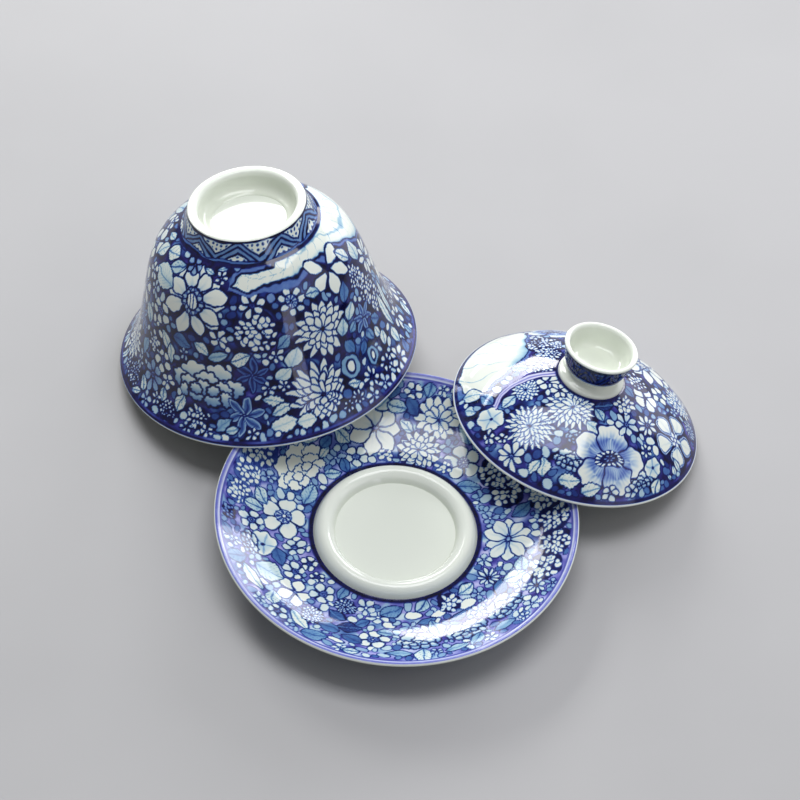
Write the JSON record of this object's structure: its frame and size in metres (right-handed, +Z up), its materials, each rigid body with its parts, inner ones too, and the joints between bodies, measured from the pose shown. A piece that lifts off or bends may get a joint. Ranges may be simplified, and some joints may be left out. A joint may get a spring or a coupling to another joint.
{
  "type": "gaiwan tea set",
  "caption": "Blue-and-white porcelain covered tea bowl taken apart: dished saucer with a seat ring, upturned flared bowl on a foot ring, and a domed lid with a cup-shaped knob.",
  "frame": {"origin": "on the bench, under the centre of the bounding box of the whole layout", "axes": "+Z up from the bench; +X from the upturned bowl towards the lid; +Y from the saucer towards the bowl and lid"},
  "size_m": [0.197, 0.1786, 0.0747],
  "materials": {
    "painted_porcelain": "clear gloss glaze over cobalt-blue flowers on a dark blue ground",
    "white_porcelain": "clear gloss glaze on white porcelain",
    "foot_porcelain": "unglazed wiped foot, satin"
  },
  "bodies": {
    "saucer": {"saucer_dish": "painted_porcelain", "saucer_seat_ring": "white_porcelain", "saucer_foot_ring": "foot_porcelain"},
    "bowl": {"bowl_wall": "painted_porcelain", "bowl_foot_ring": "painted_porcelain"},
    "lid": {"lid_dome": "painted_porcelain", "lid_knob_collar": "white_porcelain", "lid_knob": "painted_porcelain"}
  },
  "joints": [
    {"name": "bowl_lift", "type": "slide", "parent": "saucer", "child": "bowl", "axis": [0, 0, 1], "range_m": [0, 0.09]},
    {"name": "lid_lift", "type": "slide", "parent": "saucer", "child": "lid", "axis": [0, 0, 1], "range_m": [0, 0.07]}
  ]
}
